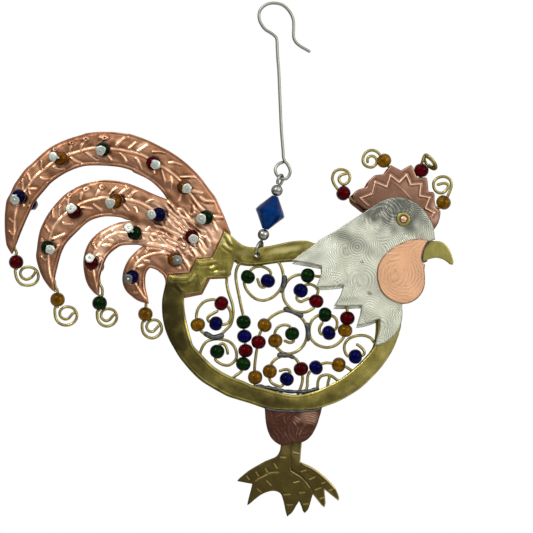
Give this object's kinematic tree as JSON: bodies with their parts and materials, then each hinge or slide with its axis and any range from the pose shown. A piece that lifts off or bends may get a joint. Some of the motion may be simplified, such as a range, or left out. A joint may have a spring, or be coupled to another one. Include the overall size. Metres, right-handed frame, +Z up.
{
  "type": "hanging rooster ornament",
  "caption": "Flat rooster of layered copper, brass and silver sheet with wire scrolls and glass beads, hung from a wire hook by a beaded link.",
  "frame": {"origin": "inside top of the hook's bend, in the middle of its thickness, where the ornament is hung up", "axes": "+X the way the rooster faces, +Y its rear sheets, +Z up"},
  "size_m": [0.1215, 0.0132, 0.1392],
  "materials": {
    "wire_steel": "satin",
    "silver": "satin",
    "tail_copper": "satin",
    "comb_copper": "satin",
    "light_copper": "satin",
    "dark_copper": "satin",
    "ring_brass": "satin",
    "old_brass": "satin",
    "wire_brass": "satin",
    "blue_glass": "polished",
    "red_glass": "polished",
    "amber_glass": "polished",
    "green_glass": "polished",
    "blue_crystal": "polished"
  },
  "bodies": {
    "hook": {"hanger_hook": "wire_steel"},
    "link": {"bead_link": "wire_steel"},
    "upper_ball": {"upper_spacer_ball": "silver"},
    "crystal": {"crystal_bead": "blue_crystal"},
    "lower_ball": {"lower_spacer_ball": "silver"},
    "rooster": {"tail_plate_front": "tail_copper", "body_ring_front": "ring_brass", "head_plate_front": "silver", "wattle_front": "light_copper", "beak_front": "ring_brass", "comb_front": "comb_copper", "thigh_front": "dark_copper", "eye_washer_front": "ring_brass", "tail_plate_rear": "tail_copper", "body_ring_rear": "ring_brass", "head_plate_rear": "silver", "wattle_rear": "light_copper", "beak_rear": "ring_brass", "comb_rear": "comb_copper", "thigh_rear": "dark_copper", "eye_washer_rear": "ring_brass", "left_foot": "old_brass", "right_foot": "old_brass", "eye_rivet": "light_copper", "back_scrolls": "wire_brass", "beaded_strand": "wire_brass", "centre_scrolls": "wire_brass", "breast_loop": "wire_brass", "tail_curl_1": "wire_brass", "tail_curl_2": "wire_brass", "tail_curl_3": "wire_brass", "tail_curl_4": "wire_brass", "comb_curl_1": "wire_brass", "comb_curl_2": "wire_brass", "comb_curl_3": "wire_brass", "comb_curl_4": "wire_brass"},
    "tail_pin_01": {"tail_pin_01": "blue_glass"},
    "tail_pin_02": {"tail_pin_02": "amber_glass"},
    "tail_pin_03": {"tail_pin_03": "green_glass"},
    "tail_pin_04": {"tail_pin_04": "red_glass"},
    "tail_pin_05": {"tail_pin_05": "amber_glass"},
    "tail_pin_06": {"tail_pin_06": "green_glass"},
    "tail_pin_07": {"tail_pin_07": "green_glass"},
    "tail_pin_08": {"tail_pin_08": "red_glass"},
    "tail_pin_09": {"tail_pin_09": "amber_glass"},
    "tail_pin_10": {"tail_pin_10": "blue_glass"},
    "tail_pin_11": {"tail_pin_11": "red_glass"},
    "tail_pin_12": {"tail_pin_12": "red_glass"},
    "tail_pin_13": {"tail_pin_13": "green_glass"},
    "tail_pin_14": {"tail_pin_14": "blue_glass"},
    "tail_pin_15": {"tail_pin_15": "amber_glass"},
    "tail_curl_bead_1": {"tail_curl_bead_1": "red_glass"},
    "tail_curl_bead_2": {"tail_curl_bead_2": "amber_glass"},
    "tail_curl_bead_3": {"tail_curl_bead_3": "green_glass"},
    "tail_curl_bead_4": {"tail_curl_bead_4": "amber_glass"},
    "comb_curl_bead_1": {"comb_curl_bead_1": "red_glass"},
    "comb_curl_bead_2": {"comb_curl_bead_2": "amber_glass"},
    "comb_curl_bead_3": {"comb_curl_bead_3": "red_glass"},
    "comb_curl_bead_4": {"comb_curl_bead_4": "amber_glass"}
  },
  "joints": [
    {"name": "link_swing", "type": "hinge", "parent": "hook", "child": "link", "pos_m": [0.0019, 0, -0.04696], "axis": [0.9563, 0, -0.2924], "range_deg": [-45, 45]},
    {"name": "upper_ball_spin", "type": "hinge", "parent": "link", "child": "upper_ball", "pos_m": [0.00084, 0, -0.05045], "axis": [0.2924, 0, 0.9563], "continuous": true},
    {"name": "crystal_spin", "type": "hinge", "parent": "link", "child": "crystal", "pos_m": [-0.00098, 0, -0.05637], "axis": [0.2924, 0, 0.9563], "continuous": true},
    {"name": "lower_ball_spin", "type": "hinge", "parent": "link", "child": "lower_ball", "pos_m": [-0.00279, 0, -0.06229], "axis": [0.2924, 0, 0.9563], "continuous": true},
    {"name": "rooster_swing", "type": "hinge", "parent": "link", "child": "rooster", "pos_m": [-0.00442, 0, -0.06764], "axis": [0, 1, 0], "range_deg": [-12, 40]},
    {"name": "tail_pin_01_spin", "type": "hinge", "parent": "rooster", "child": "tail_pin_01", "pos_m": [-0.06754, 0, -0.05278], "axis": [-0.2963, -0.9331, 0.2037], "continuous": true},
    {"name": "tail_pin_02_spin", "type": "hinge", "parent": "rooster", "child": "tail_pin_02", "pos_m": [-0.05668, 0, -0.04203], "axis": [-0.1852, -0.9811, 0.0556], "continuous": true},
    {"name": "tail_pin_03_spin", "type": "hinge", "parent": "rooster", "child": "tail_pin_03", "pos_m": [-0.04541, 0, -0.03921], "axis": [-0.1481, -0.9883, -0.037], "continuous": true},
    {"name": "tail_pin_04_spin", "type": "hinge", "parent": "rooster", "child": "tail_pin_04", "pos_m": [-0.03284, 0, -0.04266], "axis": [0.1481, -0.9827, -0.1111], "continuous": true},
    {"name": "tail_pin_05_spin", "type": "hinge", "parent": "rooster", "child": "tail_pin_05", "pos_m": [-0.0248, 0, -0.04915], "axis": [0.2222, -0.9686, -0.1111], "continuous": true},
    {"name": "tail_pin_06_spin", "type": "hinge", "parent": "rooster", "child": "tail_pin_06", "pos_m": [-0.01745, 0, -0.05751], "axis": [-0.2222, -0.9743, -0.037], "continuous": true},
    {"name": "tail_pin_07_spin", "type": "hinge", "parent": "rooster", "child": "tail_pin_07", "pos_m": [-0.06134, 0, -0.06496], "axis": [0.1481, -0.9637, -0.2222], "continuous": true},
    {"name": "tail_pin_08_spin", "type": "hinge", "parent": "rooster", "child": "tail_pin_08", "pos_m": [-0.05318, 0, -0.05652], "axis": [-0.1296, -0.9853, 0.1111], "continuous": true},
    {"name": "tail_pin_09_spin", "type": "hinge", "parent": "rooster", "child": "tail_pin_09", "pos_m": [-0.04081, 0, -0.05267], "axis": [-0.4444, -0.8835, -0.1481], "continuous": true},
    {"name": "tail_pin_10_spin", "type": "hinge", "parent": "rooster", "child": "tail_pin_10", "pos_m": [-0.02905, 0, -0.05708], "axis": [-0.4815, -0.8757, 0.037], "continuous": true},
    {"name": "tail_pin_11_spin", "type": "hinge", "parent": "rooster", "child": "tail_pin_11", "pos_m": [-0.02241, 0, -0.06216], "axis": [0.1111, -0.9686, -0.2222], "continuous": true},
    {"name": "tail_pin_12_spin", "type": "hinge", "parent": "rooster", "child": "tail_pin_12", "pos_m": [-0.04857, 0, -0.07029], "axis": [-0.1296, -0.9831, 0.1296], "continuous": true},
    {"name": "tail_pin_13_spin", "type": "hinge", "parent": "rooster", "child": "tail_pin_13", "pos_m": [-0.03663, 0, -0.0625], "axis": [-0.2222, -0.9572, 0.1852], "continuous": true},
    {"name": "tail_pin_14_spin", "type": "hinge", "parent": "rooster", "child": "tail_pin_14", "pos_m": [-0.03774, 0, -0.07345], "axis": [-0.1111, -0.9923, -0.0556], "continuous": true},
    {"name": "tail_pin_15_spin", "type": "hinge", "parent": "rooster", "child": "tail_pin_15", "pos_m": [-0.0273, 0, -0.06891], "axis": [0.2222, -0.9743, -0.037], "continuous": true},
    {"name": "tail_curl_bead_1_spin", "type": "hinge", "parent": "rooster", "child": "tail_curl_bead_1", "pos_m": [-0.06972, 0, -0.06964], "axis": [0.0872, 0, -0.9962], "continuous": true},
    {"name": "tail_curl_bead_2_spin", "type": "hinge", "parent": "rooster", "child": "tail_curl_bead_2", "pos_m": [-0.05852, 0, -0.07984], "axis": [0.0349, 0, -0.9994], "continuous": true},
    {"name": "tail_curl_bead_3_spin", "type": "hinge", "parent": "rooster", "child": "tail_curl_bead_3", "pos_m": [-0.04712, 0, -0.08074], "axis": [-0.0349, 0, -0.9994], "continuous": true},
    {"name": "tail_curl_bead_4_spin", "type": "hinge", "parent": "rooster", "child": "tail_curl_bead_4", "pos_m": [-0.03472, 0, -0.08374], "axis": [-0.1219, 0, -0.9925], "continuous": true},
    {"name": "comb_curl_bead_1_spin", "type": "hinge", "parent": "rooster", "child": "comb_curl_bead_1", "pos_m": [0.01888, 0, -0.05104], "axis": [-0.8192, 0, 0.5736], "continuous": true},
    {"name": "comb_curl_bead_2_spin", "type": "hinge", "parent": "rooster", "child": "comb_curl_bead_2", "pos_m": [0.02988, 0, -0.04224], "axis": [-0.6018, 0, 0.7986], "continuous": true},
    {"name": "comb_curl_bead_3_spin", "type": "hinge", "parent": "rooster", "child": "comb_curl_bead_3", "pos_m": [0.03998, 0, -0.04484], "axis": [0.0349, 0, 0.9994], "continuous": true},
    {"name": "comb_curl_bead_4_spin", "type": "hinge", "parent": "rooster", "child": "comb_curl_bead_4", "pos_m": [0.04598, 0, -0.05354], "axis": [0.5878, 0, 0.809], "continuous": true}
  ]
}
